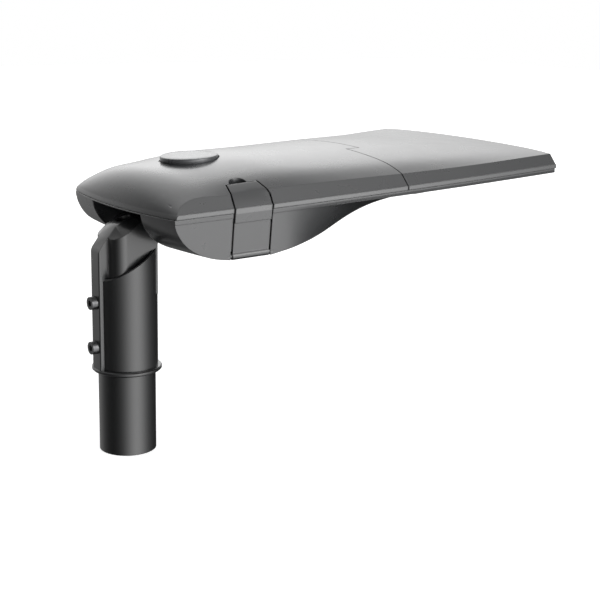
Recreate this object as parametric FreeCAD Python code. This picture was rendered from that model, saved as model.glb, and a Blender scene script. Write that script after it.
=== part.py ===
import FreeCAD, Part
import math
import os
from FreeCAD import Vector

os.makedirs("parts", exist_ok=True)

# LED street light head on the top of a post, in millimetres.
# The post stands on Z, and the head reaches out along +X.
# Everything of the head is drawn level and then tilted about its knuckle bolt.

# Post and knuckle bracket
pole_r = 30.0
pole_wall = 3.0
pole_below = 92.0
pole_inside = 78.0
pole_full = 86.0
pole_relief = 0.5
pole_fit = 0.3
socket_wall = 2.3
socket_cut_z = 113.5
socket_cut_slope = 0.6
groove_deep = 8.0
collar_r = 36.6
collar_h = 4.0
pad_half = 9.0
pad_x = 35.6
pad_top = 124.0
neck_rear = 24.6
neck_front = 24.0
neck_half = 24.4
neck_round = 14.0
neck_cut_slope = 0.66
neck_cut_z = 151.6
neck_cut_end = 6.0
fin_step = 5.0
fin_round = 1.6
shelf_h = 6.0
duct_r = 7.0
duct_x = -2.0
clamp_z = (23.6, 71.1)
clamp_r = 4.0
clamp_head_r = 6.7
clamp_head_h = 7.8
clamp_key = 6.0
clamp_seat = 1.2
clamp_gap = 0.2

# Knuckle: the bolt that the head tilts on
pivot_x = 38.0
pivot_z = 149.86
tilt_now = 3.05
knuckle_r = 14.0
bolt_r = 5.0
bolt_fit = 0.05
bolt_hole = 0.3
lug_fit = 0.1
lug_h = 10.0
washer_r = 10.0
washer_h = 2.0
bolt_head_h = 6.4
nut_af = 16.0
nut_h = 8.4
bolt_past = 1.4

# Plan of the head: half width at the rear, its growth and its flattening
half_rear = 105.4
half_grow = 0.1705
half_flat = 0.0001359
nose_x = -10.8
nose_bow = 0.00088
front_x = 473.0
front_bow = 7.0

# Heights of the level head
part_z = 171.86
strip_h = 4.7
band_h = 4.9
edge_h = 11.6
edge_in = 11.5
band_in = 1.2
strip_in = 1.0
tub_in = 1.6
panel_in = 22.0
top_z = part_z + 69.0

# Long line over the crown, from nose to front end, above the parting
crest = [(-40.0, 34.8), (-12.0, 35.6), (28.0, 36.4), (60.0, 37.4), (84.0, 38.9), (108.0, 40.1),
         (135.0, 39.6), (170.0, 37.4), (212.0, 35.2), (263.0, 33.2), (330.0, 29.8),
         (400.0, 24.3), (473.0, 19.2), (520.0, 15.7), (560.0, 12.6)]

# Long line of the side edges, where the crown meets the bevel, above the parting
edge = [(-60.0, 19.4), (-20.0, 19.3), (14.0, 18.6), (45.0, 17.4), (90.0, 17.9), (140.0, 18.1),
        (200.0, 17.4), (260.0, 16.4), (320.0, 15.6), (370.0, 15.4), (430.0, 15.5), (473.0, 15.6),
        (520.0, 15.6), (560.0, 15.6)]
edge_from = 45.0
crown_flat = 0.72
nose_len = 42.0
nose_len_side = 48.0
flat_from = 5.0
flat_run = 60.0
flat_fall = 6.0
crown_rows = (0.0, 1.2, 5.0, 12.0, 22.0, 36.0, 56.0, 82.0, 108.0, 135.0, 165.0, 205.0, 255.0,
              320.0, 400.0, 484.0, 530.0)
crown_lines = (-1.26, -1.12, -1.0, -0.87, -0.64, -0.34, 0.0, 0.34, 0.64, 0.87, 1.0, 1.12, 1.26)
bow_fade = 90.0
nose_full = 2.4
nose_round = 0.4545

# Long line under the belly, from the nose's parting to the flat underside
belly = [(0.0, 8.0), (0.1, -8.8), (2.8, -15.5), (7.4, -22.8), (12.2, -28.1), (22.2, -35.2),
         (32.3, -40.0), (42.3, -43.2), (56.4, -45.8), (75.1, -47.6), (89.0, -47.7),
         (103.0, -47.2), (120.0, -45.1), (147.0, -40.2), (168.0, -35.9), (184.0, -31.9),
         (200.0, -26.9), (218.0, -20.8), (232.0, -16.2), (250.0, -12.0), (272.0, -9.8),
         (300.0, -9.5), (325.0, -9.5)]
bow_x = 115.0
bow_top_end = 290.0
bow_low_end = 262.0
bow_draw = 0.0066
bow_h = 62.0

# Walls, rims and the seam between the two covers
wall = 3.0
skin = 2.8
rim_in = 11.0
rim_rear = 9.5
rim_h = 3.5
cover_gap = 0.3
cover_rim_h = 2.4
gasket_h = 1.4
gasket_in = 7.2
gasket_w = 3.5
gasket_rear = 5.0
seam_x = 262.5
seam_jog = 18.0
seam_jog_y = -36.0
seam_gap = 1.1
seam_lip = 8.0
bay_rear_end = 244.0

# Rear notch and the knuckle chamber behind it
notch_half = 50.8
chamber_front = 62.0
chamber_top = part_z - 6.0
lip_x = 4.0
lip_h = 1.4

# Side latches
latch_x = 75.6
latch_half = 20.0
latch_lean = 0.11
latch_gap = 1.7
latch_top_in = 24.5
latch_skin = 3.0
latch_under = 1.2
latch_back = 2.6
barrel_r = 4.0
barrel_z = part_z - 43.0
pin_r = 2.0
pin_fit = 0.05
pin_grip = 3.8
taper_in = 8.0
taper_run = 8.0
tooth_z = part_z + 2.2
tooth_h = 2.4
tooth_deep = 3.0
tooth_fit = 0.6
scoop_r = 9.5
scoop_z = part_z + 18.5

# Round cap over the control socket
cap_x = 80.0
cap_r = 30.6
cap_top_z = part_z + 42.5
cap_h = 5.9
seat_r = 32.0
seat_floor = 2.8
seal_h = 1.2
socket_r = 17.5
socket_drop = 14.0

# Lighting unit in the underside
led_x0 = 296.0
led_x1 = 450.0
led_half = 108.0
glass_lap = 8.0
glass_h = 4.0
glass_fit = 0.4
glass_seal_h = 0.9
bezel_h = 2.0
bezel_w = 14.0
bezel_lap = 6.0
coaming_h = 5.0
coaming_w = 4.0
plate_h = 4.0
fin_h = 6.0
fin_w = 2.0
fin_count = 13
board_h = 2.0
board_fit = 2.0
lens_h = 5.5
lens_plate = 1.5
lens_half = 8.0
lens_top = 4.5
led_rows = 4
led_cols = 6

# Gear in the tub
tray_z = part_z - 23.0
tray_x0 = 72.0
tray_x1 = 178.0
tray_half = 80.0
tray_h = 1.5
post_r = 5.0
screw_r = 2.0
screw_head_r = 3.8
screw_head_h = 2.2
sink_h = 1.6
sink_fit = 0.15
driver_x = 138.0
driver_y = -14.0
driver_w = 62.0
driver_len = 104.0
driver_h = 36.0
surge_x = 139.0
surge_y = 62.0
surge_len = 50.0
surge_w = 30.0
surge_h = 27.0
block_x = 91.0
block_w = 20.0
block_len = 56.0
block_h = 20.0
gland_y = -38.5
gland_z = part_z - 19.0
gland_r = 8.0
gland_fit = 0.1
vent_y = 42.0
vent_r = 6.0


def box(x0, x1, y0, y1, z0, z1):
    return Part.makeBox(x1 - x0, y1 - y0, z1 - z0, Vector(x0, y0, z0))


def rod(r, h, at, along=Vector(0, 0, 1)):
    return Part.makeCylinder(r, h, Vector(*at), along)


def hexagon(af, h, at, along):
    ring = [Vector(af / math.sqrt(3) * math.cos(math.radians(60 * k)),
                   af / math.sqrt(3) * math.sin(math.radians(60 * k)), 0) for k in range(7)]
    solid = Part.Face(Part.makePolygon(ring)).extrude(Vector(0, 0, h))
    solid.Placement = FreeCAD.Placement(Vector(*at), FreeCAD.Rotation(Vector(0, 0, 1), along))
    return solid


def half(x):
    return half_rear + half_grow * x - half_flat * x * x


def smooth(table, x):
    k = max(i for i in range(1, len(table) - 2) if table[i][0] <= x or i == 1)
    (x0, z0), (x1, z1), (x2, z2), (x3, z3) = table[k - 1:k + 3]
    u = (x - x1) / (x2 - x1)
    rise1 = (z2 - z0) / (x2 - x0) * (x2 - x1)
    rise2 = (z3 - z1) / (x3 - x1) * (x2 - x1)
    return ((2 * u ** 3 - 3 * u ** 2 + 1) * z1 + (u ** 3 - 2 * u ** 2 + u) * rise1
            + (3 * u ** 2 - 2 * u ** 3) * z2 + (u ** 3 - u ** 2) * rise2)


def nose_at(y):
    return nose_bow * y * y


def curve(points):
    line = Part.BSplineCurve()
    line.interpolate([Vector(*p) for p in points])
    return line.toShape()


# Plan outline at a given inset and height, closed far behind the nose
def outline(inset, z, front=0.0, rear=-40.0):
    xs = [rear + (front_x + front - inset - rear) * k / 8.0 for k in range(9)]
    near = [(x, -(half(x) - inset), z) for x in xs]
    far = [(x, half(x) - inset, z) for x in xs]
    tip = Vector(front_x + front - inset + front_bow, 0, z)
    nose = Part.makeLine(Vector(*far[0]), Vector(*near[0]))
    end = Part.Arc(Vector(*near[-1]), tip, Vector(*far[-1])).toShape()
    return Part.Wire([nose, curve(near), end, curve(far[::-1])])


def plan(inset, z0, z1, front=0.0):
    return Part.Face(outline(inset, z0, front=front)).extrude(Vector(0, 0, z1 - z0))


# Half span of the crown between its two side edges, which follow the bevel
def reach_at(x):
    side_h = smooth(edge, max(x, edge_from))
    return half(x) - band_in - (side_h - band_h) / edge_h * (edge_in - band_in)


# Height of the crown over the plan: x along the head, t across it from side edge to side edge
def crest_at(x, t):
    side_h = smooth(edge, x)
    share = (1.0 - crown_flat) * min(1.0, max(0.0, (x - flat_from) / flat_run))
    drop = (1.0 - share) * t ** 2 + share * min(abs(t), 1.0) ** 8
    drop += share * flat_fall * max(0.0, abs(t) - 1.0)
    run = nose_len + (nose_len_side - nose_len) * min(1.0, t ** 2)
    fill = min(1.0, max(0.0, (x - nose_x) / run))
    swell = (1.0 - (1.0 - fill) ** nose_full) ** nose_round
    return part_z + (side_h + (smooth(crest, x) - side_h) * (1.0 - drop)) * swell


# Crowned top with the rounded nose, as one surface swept down into the body
def crown(inset):
    rows = []
    for k, s in enumerate(crown_rows):
        x = nose_x + s
        fill = min(1.0, s / nose_len)
        fade = max(0.0, 1.0 - s / bow_fade)
        lean = math.atan2((1.0 - fill) ** 1.2, 0.35 * fill + 0.02)
        row = []
        for t in crown_lines:
            y = t * reach_at(x)
            z = crest_at(x, t) if k else part_z - 7.0
            along_x = x + nose_at(y) * fade + inset * math.sin(lean)
            row.append(Vector(along_x, y, z - inset * math.cos(lean)))
        rows.append(row)
    surface = Part.BSplineSurface()
    surface.interpolate(rows)
    return surface.toShape().extrude(Vector(150, 0, -150))


# Belly with the nose's lower curve, as one surface swept up into the body
def keel(inset):
    rows = []
    for k, (s, drop) in enumerate(belly):
        before = belly[max(0, k - 1)]
        after = belly[min(len(belly) - 1, k + 1)]
        run = math.hypot(after[0] - before[0], after[1] - before[1])
        nx = -(after[1] - before[1]) / run
        nz = (after[0] - before[0]) / run
        x = nose_x + s
        fade = max(0.0, 1.0 - s / bow_fade)
        rows.append([Vector(x + nose_at(y) * fade + inset * nx, y, part_z + drop + inset * nz)
                     for y in (-160.0, -80.0, 0.0, 80.0, 160.0)])
    surface = Part.BSplineSurface()
    surface.interpolate(rows)
    return surface.toShape().extrude(Vector(110, 0, 110))


# Sides of the tub: upright at the rear, drawn in below towards the front like a bow
def hull(inset):
    wires = []
    for z, draw, end in ((part_z + 2.0, 0.0, bow_top_end), (part_z + 2.0 - bow_h, bow_draw, bow_low_end)):
        rear = [-40.0 + (bow_x + 40.0) * k / 3.0 for k in range(4)]
        bow = [bow_x + (end - bow_x) * k / 6.0 for k in range(7)]
        side_a = [(x, inset + tub_in - half(x), z) for x in rear]
        side_b = [(x, inset + tub_in - half(x) + draw * (x - bow_x) ** 2, z) for x in bow]
        far_a = [(x, -y, zz) for x, y, zz in side_a]
        far_b = [(x, -y, zz) for x, y, zz in side_b]
        wires.append(Part.Wire([Part.makeLine(Vector(*far_a[0]), Vector(*side_a[0])), curve(side_a),
                                curve(side_b), Part.makeLine(Vector(*side_b[-1]), Vector(*far_b[-1])),
                                curve(far_b[::-1]), curve(far_a[::-1])]))
    return Part.makeLoft(wires, True, True)


# The upper body: crown cut to the plan, with the bevel above the upright band
def upper(inset):
    low = part_z + band_h
    rise = (top_z - low) / edge_h * (edge_in - band_in)
    base = outline(inset + band_in, low, 20.0)
    bevel = Part.makeLoft([base, outline(inset + band_in + rise, top_z, 20.0 + rise)], True, True)
    side = plan(inset, part_z - 10.0, low).fuse(bevel)
    return crown(inset).common(plan(inset, part_z - 10.0, top_z)).common(side)


# The lower body: bowed tub, edge strip all round, and the flat lighting panel
def tub_side(inset):
    strip = plan(strip_in + inset, part_z - strip_h, part_z)
    return hull(inset).common(box(-60, bow_top_end, -200, 200, 100, part_z)).fuse(strip)


def lower(inset):
    strip = plan(strip_in + inset, part_z - strip_h + min(inset, strip_h - 1.0), part_z)
    panel = plan(panel_in + inset, part_z + belly[-1][1] + inset, part_z)
    flat = strip.fuse(panel).common(box(bow_top_end, 560, -200, 200, 100, part_z))
    tub = hull(inset).fuse(strip).common(box(-60, bow_top_end, -200, 200, 100, part_z))
    return keel(inset).common(tub).fuse(flat)


def turned(shape, angle):
    return shape.rotated(Vector(pivot_x, 0, pivot_z), Vector(0, 1, 0), -angle)


def post(name, shape):
    shape.translated(Vector(0, 0, pole_below)).exportStep("parts/" + name + ".step")


def head(name, shape):
    post(name, turned(shape, tilt_now))


def mirrored(shape):
    return shape.mirror(Vector(0, 0, 0), Vector(0, 1, 0))


def bevelled(shape, size):
    rims = [e for e in shape.Edges if e.Curve.TypeId == "Part::GeomCircle"]
    return shape.makeChamfer(size, rims)


def prism(points, y0, y1):
    ring = [Vector(x, y0, z) for x, z in points]
    return Part.Face(Part.makePolygon(ring + ring[:1])).extrude(Vector(0, y1 - y0, 0))


ymax = Vector(0, 1, 0)
outer_top = upper(0.0)
outer_low = lower(0.0)

# Post: the tube that the luminaire stands on, turned down where the bracket covers it
tube = rod(pole_r - pole_relief, pole_below + pole_inside, (0, 0, -pole_below))
tube = tube.fuse(rod(pole_r, pole_full, (0, 0, -pole_below)))
tube = tube.cut(rod(pole_r - pole_wall, 400, (0, 0, -pole_below - 100)))
post("pole_tube", tube)

# Bracket casting: socket over the tube, clamp pad, neck and tongue
bore_r = pole_r + pole_fit
socket_r_out = bore_r + socket_wall
shelf_z = pole_inside + pole_fit
rim_line = [(-60, socket_cut_z - 60 * socket_cut_slope), (60, socket_cut_z + 60 * socket_cut_slope)]
above_rim = prism(rim_line + [(60, 300), (-60, 300)], -60, 60)
socket = rod(socket_r_out, 150, (0, 0, 0)).cut(above_rim)
touch_x = neck_cut_end
touch_z = neck_cut_z + neck_cut_slope * neck_cut_end
rear_z = neck_cut_z - neck_cut_slope * neck_rear
crown_z = pivot_z + knuckle_r
neck_plan = box(-neck_rear, pivot_x + knuckle_r, -neck_half, neck_half, shelf_z, 200)
rear_edges = [e for e in neck_plan.Edges
              if abs(e.BoundBox.XMin + neck_rear) < 0.01 and e.BoundBox.ZLength > 50]
neck_plan = neck_plan.makeFillet(neck_round, rear_edges)
flank = prism([(-neck_rear, shelf_z), (-neck_rear, rear_z), (touch_x, touch_z), (pivot_x, crown_z),
               (pivot_x, pivot_z - knuckle_r), (neck_front, pivot_z - knuckle_r - 4.0),
               (neck_front, shelf_z)], -neck_half, neck_half)
knob = rod(knuckle_r, 2 * neck_half, (pivot_x, -neck_half, pivot_z), ymax)
pad_line = [(-pad_x, pad_top), (-pad_x + 2.2, pad_top + 4.6), (-16.0, 151.0), (touch_x, crown_z - fin_step)]
fin_line = [(-pad_x, 0), *pad_line, (pivot_x, crown_z), (pivot_x, pivot_z), (touch_x, 0)]
fin = prism(fin_line, -pad_half, pad_half)
pad_edges = [e for e in fin.Edges if abs(e.BoundBox.XMax + pad_x) < 0.01 and e.BoundBox.ZLength > 50]
fin = fin.makeFillet(fin_round, pad_edges)
low_quad = [(-neck_rear, rear_z - 4), (-neck_rear, rear_z), (-16, neck_cut_z - 16 * neck_cut_slope),
            (touch_x, touch_z), (touch_x, rear_z - 4)]
high_quad = [(-pad_x + 2.2, rear_z - 9), *pad_line[1:], (touch_x, rear_z - 9)]
slope = Part.makeLoft([Part.makePolygon([Vector(x, -neck_half, z) for x, z in low_quad + low_quad[:1]]),
                       Part.makePolygon([Vector(x, -pad_half, z) for x, z in high_quad + high_quad[:1]])],
                      True, True).common(neck_plan)
neck = neck_plan.common(flank.fuse(knob)).fuse([slope, mirrored(slope)])
ring_cut = rod(bore_r - 0.1, 200, (0, 0, 0)).common(above_rim.translated(Vector(0, 0, -groove_deep)))
bracket = socket.cut(ring_cut).fuse([neck, fin])
bracket = bracket.cut(rod(bore_r, shelf_z, (0, 0, 0)))
bracket = bracket.cut(rod(duct_r * 2, shelf_h + 12, (duct_x, 0, shelf_z - 1)))
bracket = bracket.cut(rod(duct_r, 120, (duct_x, 0, shelf_z)))
bracket = bracket.cut(rod(bolt_r + bolt_fit, 120, (pivot_x, -60, pivot_z), ymax))
for z in clamp_z:
    bracket = bracket.cut(rod(clamp_r, 20, (-pad_x - 5, 0, z), Vector(1, 0, 0)))
    bracket = bracket.cut(rod(clamp_head_r + 0.4, 5 + clamp_seat, (-pad_x - 5, 0, z), Vector(1, 0, 0)))
bracket = bracket.removeSplitter()
post("socket_bracket", bracket)

# Rain collar under the socket
collar = rod(collar_r, collar_h, (0, 0, -collar_h))
collar = bevelled(collar, collar_h / 4).cut(rod(bore_r, 60, (0, 0, -30)))
post("collar_ring", collar)

# Two socket head screws that clamp the bracket on the tube
screws = []
for z in clamp_z:
    seat = -pad_x + clamp_seat
    body = rod(clamp_head_r, clamp_head_h, (seat - clamp_head_h, 0, z), Vector(1, 0, 0))
    screw_len = -(pole_r - pole_relief) - clamp_gap - seat
    body = body.fuse(rod(clamp_r, screw_len, (seat, 0, z), Vector(1, 0, 0)))
    screws.append(body.cut(hexagon(clamp_key, 4.5, (seat - clamp_head_h - 0.5, 0, z), Vector(1, 0, 0))))
post("clamp_screws", Part.makeCompound(screws))

# Latch zone: a leaning band across the side, narrowing on the crown
beta = math.atan(half_grow - 2 * half_flat * latch_x)
along = Vector(math.cos(beta), -math.sin(beta), 0)
inward = Vector(math.sin(beta), math.cos(beta), 0)
side_point = Vector(latch_x, -half(latch_x), barrel_z)


def local(a, b, z):
    return side_point + along * a + inward * b + Vector(0, 0, z - barrel_z)


def strip_of(a0, a1, b0, b1, z0, z1):
    shift0 = latch_lean * (z0 - barrel_z)
    shift1 = latch_lean * (z1 - barrel_z)
    ring = [local(a0 + shift0, b0, z0), local(a1 + shift0, b0, z0),
            local(a1 + shift1, b0, z1), local(a0 + shift1, b0, z1)]
    return Part.Face(Part.makePolygon(ring + ring[:1])).extrude(inward * (b1 - b0))


def zone(g, z0, back=0.0):
    band = strip_of(-latch_half - g, latch_half + g, -12, latch_top_in + back, z0, top_z)
    a = latch_half + latch_lean * (part_z + 20 - barrel_z) + g
    ring = [local(a, taper_in, z0 - 5), local(a - taper_run, latch_top_in + 2, z0 - 5),
            local(a + 40, latch_top_in + 2, z0 - 5), local(a + 40, taper_in, z0 - 5)]
    wedge = Part.Face(Part.makePolygon(ring + ring[:1])).extrude(Vector(0, 0, top_z - z0 + 10))
    return band.cut(wedge)


axis_point = local(0, barrel_r, barrel_z)


def axle(r, half_len):
    return Part.makeCylinder(r, 2 * half_len, axis_point - along * half_len, along)


def basin(inset, rear, z0, z1):
    return Part.Face(outline(inset, z0, 0.0, rear)).extrude(Vector(0, 0, z1 - z0))


def region(x0, x1, z0, z1):
    return box(x0, x1, -200, 200, z0, z1)


def pair(shape):
    return [shape, mirrored(shape)]


# Side latches: each a strip of the shell with a barrel along its lower edge
both = outer_top.fuse(outer_low)
deep = latch_skin + latch_under
behind = deep + latch_back
latch = zone(0.0, barrel_z).common(both).cut(upper(latch_skin)).cut(tub_side(latch_skin))
tooth = strip_of(-5, 5, latch_skin - 1.5, deep + tooth_deep, tooth_z, tooth_z + tooth_h)
latch = latch.fuse(axle(barrel_r, latch_half)).fuse(tooth)
latch = latch.cut(axle(pin_r + pin_fit, 60))
head("latch_near", latch)
head("latch_far", mirrored(latch))
pins = axle(pin_r, latch_half + latch_gap + pin_grip)
head("latch_pins", Part.makeCompound(pair(pins)))

# Room that each latch lies in, and the metal that closes it from inside
room = zone(latch_gap, barrel_z, latch_gap).cut(upper(deep)).cut(tub_side(deep))
foot = strip_of(-latch_half - latch_gap, latch_half + latch_gap, -12, barrel_r, barrel_z - 14, barrel_z + 1)
room = room.fuse([axle(barrel_r + latch_gap, latch_half + latch_gap), foot])
slot = strip_of(-5 - tooth_fit, 5 + tooth_fit, 0, deep + tooth_deep + tooth_fit,
                tooth_z - tooth_fit, tooth_z + tooth_h + tooth_fit)
shield = zone(latch_gap + latch_back, barrel_z, latch_gap + latch_back)
shield_top = shield.common(outer_top).cut(upper(behind))
shield_low = shield.common(outer_low).cut(tub_side(behind))
pin_boss = axle(barrel_r + latch_gap + latch_back, latch_half + latch_gap + pin_grip + 1.2)
shield_low = shield_low.fuse(pin_boss.common(outer_low))
scoop_at = local(latch_lean * (scoop_z - barrel_z) - 7.0, latch_top_in, scoop_z)
scoop = rod(scoop_r, 40, scoop_at)
cup = rod(scoop_r + latch_back, 40, scoop_at - Vector(0, 0, latch_back)).common(outer_top)

# Cover shell with its rim, the seat of the round cap and the catches
edge_z = part_z + cover_gap
rim_z = part_z + gasket_h
stations = [2.0, 10.0, 24.0, 50.0, 108.0, 170.0, 262.0, 380.0, front_x - skin]
hollows = []
for x in stations:
    reach = reach_at(x)
    roof = [Vector(x, t * reach, crest_at(x - skin, t) - skin)
            for t in (-0.97, -0.8, -0.5, 0.0, 0.5, 0.8, 0.97)]
    side = half(x) - 2 * skin
    low = min(part_z + band_h - 1.0, roof[0].z - 1.0)
    near_side = [Vector(x, -side, edge_z - 2), Vector(x, -side, low)]
    far_side = [Vector(x, side, low), Vector(x, side, edge_z - 2)]
    hollows.append(Part.makePolygon(near_side + roof + far_side + near_side[:1]))
inner_top = Part.makeLoft(hollows, True, True)
rim_band = plan(0.0, rim_z, rim_z + cover_rim_h).common(outer_top)
rim_band = rim_band.cut(basin(rim_in, rim_rear, rim_z - 1, rim_z + 5))
shell = outer_top.cut(inner_top).fuse(rim_band)


def rear_of(shift, grow):
    near = box(-60, seam_x + shift, -200, seam_jog_y + grow, 100, 300)
    return near.fuse(box(-60, seam_x + seam_jog + shift, seam_jog_y + grow, 200, 100, 300))


half_gap = seam_gap / 2
rear_side = rear_of(-half_gap, half_gap)
front_side = region(-60, 560, 100, 300).cut(rear_of(half_gap, -half_gap))
seat_z = cap_top_z - cap_h - seal_h
seat = rod(seat_r + seat_floor, 60, (cap_x, 0, seat_z - seat_floor)).common(outer_top)
bulkhead = outer_top.common(region(bay_rear_end, bay_rear_end + 3.0, rim_z, 300))
flange = outer_top.common(region(bay_rear_end, bay_rear_end + 8.0, rim_z, rim_z + cover_rim_h))
rear = shell.fuse([seat, bulkhead, flange]).fuse(pair(shield_top)).fuse(pair(cup))
rear = rear.common(rear_side).common(region(-60, 560, edge_z, 300))
rear = rear.cut(rod(seat_r, 60, (cap_x, 0, seat_z))).cut(rod(socket_r + pole_fit, 60, (cap_x, 0, 180)))
for shape in pair(room) + pair(slot) + pair(scoop):
    rear = rear.cut(shape)
head("rear_cover", rear)

tongue = inner_top.common(region(-60, 560, rim_z + 6, 300)).cut(inner_top.translated(Vector(0, 0, -2.2)))
lap = rear_of(seam_lip, -seam_lip).cut(rear_of(-seam_lip, seam_lip))
tongue = tongue.translated(Vector(0, 0, -cover_gap)).common(lap)
root = inner_top.common(front_side).common(rear_of(seam_lip, -seam_lip))
root = root.common(region(-60, 560, rim_z + 6, 300))
root = root.cut(inner_top.translated(Vector(0, 0, -1.5)))
bosses = [(led_x0 + 8, 1), (front_x - 20, 1), (led_x0 + 8, -1), (front_x - 20, -1)]


def boss_y(x, s):
    return s * (half(x) - rim_in - 3)


posts = [rod(post_r, 60, (x, boss_y(x, s), edge_z)).common(outer_top) for x, s in bosses]
front = shell.common(front_side).fuse([tongue, root]).fuse(posts).common(region(-60, 560, edge_z, 300))
for x, s in bosses:
    front = front.cut(rod(screw_r, 12, (x, boss_y(x, s), edge_z)))
head("front_cover", front)

# Lower housing: tub and lighting panel in one casting
line = [(nose_x + 12, part_z - 8), (nose_x + 17, part_z - 19), (nose_x + 26, part_z - 30),
        (nose_x + 40, part_z - 38.8), (nose_x + 60, part_z - 42.8), (nose_x + 89, part_z - 44.4),
        (nose_x + 120, part_z - 41.2),
        (nose_x + 168, part_z - 31.8), (nose_x + 200, part_z - 22.8), (nose_x + 232, part_z - 12.4),
        (bay_rear_end, part_z - 9.5), (bay_rear_end, part_z - rim_h), (nose_x + 12, part_z - rim_h)]
gear_room = prism(line, -200, 200).common(hull(wall))
mouth = basin(rim_in, rim_rear, part_z - rim_h - 0.5, part_z + 1)
gear_room = gear_room.fuse(mouth.common(region(-60, bay_rear_end, 100, 300)))
chamber_wall = box(-60, chamber_front + wall, -notch_half - wall, notch_half + wall, 100, 200)
gear_room = gear_room.cut(chamber_wall)
chamber = box(-60, chamber_front, -notch_half, notch_half, 90, chamber_top)
chamber = chamber.fuse(box(-60, lip_x, -notch_half, notch_half, 90, part_z - lip_h))
housing = outer_low.cut(gear_room).fuse(pair(shield_low))
for shape in pair(room):
    housing = housing.cut(shape)
housing = housing.cut(chamber)
for shape in pair(axle(pin_r, latch_half + latch_gap + pin_grip)):
    housing = housing.cut(shape)
disc_y = neck_half + lug_fit
lug_r = knuckle_r - 0.6
lug = rod(lug_r, lug_h, (pivot_x, disc_y, pivot_z), ymax)
lug = lug.fuse(box(pivot_x - lug_r, pivot_x + lug_r, disc_y, disc_y + lug_h, pivot_z, chamber_top + 1))
lug = lug.cut(rod(bolt_r + bolt_hole, 40, (pivot_x, disc_y - 5, pivot_z), ymax))
housing = housing.fuse(pair(lug))
inner_x0 = led_x0 + glass_lap
inner_x1 = led_x1 - glass_lap
inner_half = led_half - glass_lap
panel_z = part_z + belly[-1][1]
rebate_top = panel_z + glass_h + glass_seal_h
housing = housing.cut(box(led_x0, led_x1, -led_half, led_half, panel_z - 1, rebate_top))
coaming = box(inner_x0 - coaming_w, inner_x1 + coaming_w, -inner_half - coaming_w, inner_half + coaming_w,
              part_z - 1, part_z + coaming_h)
housing = housing.fuse(coaming)
housing = housing.cut(box(inner_x0, inner_x1, -inner_half, inner_half, panel_z, part_z + coaming_h + 1))
tray_posts = [(tray_x0 + 8, 1), (tray_x1 - 8, 1), (tray_x0 + 8, -1), (tray_x1 - 8, -1)]
tray_y = tray_half - 8
stands = [rod(post_r, tray_z - 100, (x, s * tray_y, 100)).common(outer_low) for x, s in tray_posts]
housing = housing.fuse(stands)
for x, s in tray_posts:
    housing = housing.cut(rod(screw_r, 8, (x, s * tray_y, tray_z - 8)))
    housing = housing.cut(rod(post_r + 3, 40, (x, s * tray_y, tray_z)).common(gear_room))
for x, s in bosses:
    housing = housing.cut(rod(screw_r + 0.3, 20, (x, boss_y(x, s), part_z - 15)))
    pocket = (x, boss_y(x, s), part_z - strip_h - 12)
    housing = housing.cut(rod(screw_head_r + 0.6, 12 + screw_head_h, pocket))
housing = housing.cut(rod(gland_r + gland_fit, 20, (chamber_front - 8, gland_y, gland_z), Vector(1, 0, 0)))
housing = housing.cut(rod(vent_r + gland_fit, 20, (chamber_front - 8, vent_y, gland_z), Vector(1, 0, 0)))
rim = bezel_w - bezel_lap
screw_xs = (led_x0 + 10, (led_x0 + led_x1) / 2, led_x1 - 10)
spots = [(x, s * (led_half + rim / 2)) for x in screw_xs for s in (-1, 1)]
for x, y in spots:
    housing = housing.cut(rod(screw_r, 6.5, (x, y, panel_z - 0.5)))
head("lower_housing", housing)

# Gasket on the tub's rim, with its cross bar before the lighting panel
seal_line = basin(gasket_in, gasket_rear, part_z, rim_z)
bar = seal_line.common(region(bay_rear_end + 1, bay_rear_end + 5, 100, 300))
seal_line = seal_line.cut(basin(gasket_in + gasket_w, gasket_rear + gasket_w, part_z - 1, rim_z + 1))
seal_line = seal_line.common(region(-60, bay_rear_end + 4, 100, 300))
head("cover_gasket", seal_line.fuse(bar))

# Knuckle bolt, its washers and nut
lug_y = disc_y + lug_h
head_y = -lug_y - washer_h
bolt = rod(bolt_r, lug_y - head_y + washer_h + nut_h + bolt_past, (pivot_x, head_y, pivot_z), ymax)
bolt = bolt.fuse(hexagon(nut_af, bolt_head_h, (pivot_x, head_y - bolt_head_h, pivot_z), ymax))
head("knuckle_bolt", bolt)
nut = hexagon(nut_af, nut_h, (pivot_x, lug_y + washer_h, pivot_z), ymax)
head("knuckle_nut", nut.cut(rod(bolt_r, 80, (pivot_x, 0, pivot_z), ymax)))
washer = rod(washer_r, washer_h, (pivot_x, lug_y, pivot_z), ymax)
washer = washer.cut(rod(bolt_r + bolt_hole, 80, (pivot_x, 0, pivot_z), ymax))
head("knuckle_washers", Part.makeCompound(pair(washer)))

# Round cap, its seal and the control socket below
cap = rod(cap_r, cap_h + seal_h - cover_gap, (cap_x, 0, seat_z + cover_gap))
cap = cap.cut(rod(socket_r + 1.0, seal_h + 1.5, (cap_x, 0, seat_z)))
head("socket_cap", cap)
base = rod(socket_r, socket_drop + seat_floor, (cap_x, 0, seat_z - seat_floor - socket_drop))
base = base.fuse(rod(socket_r + 4.0, 3.0, (cap_x, 0, seat_z - seat_floor - 3.0)))
head("control_socket", base)

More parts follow.
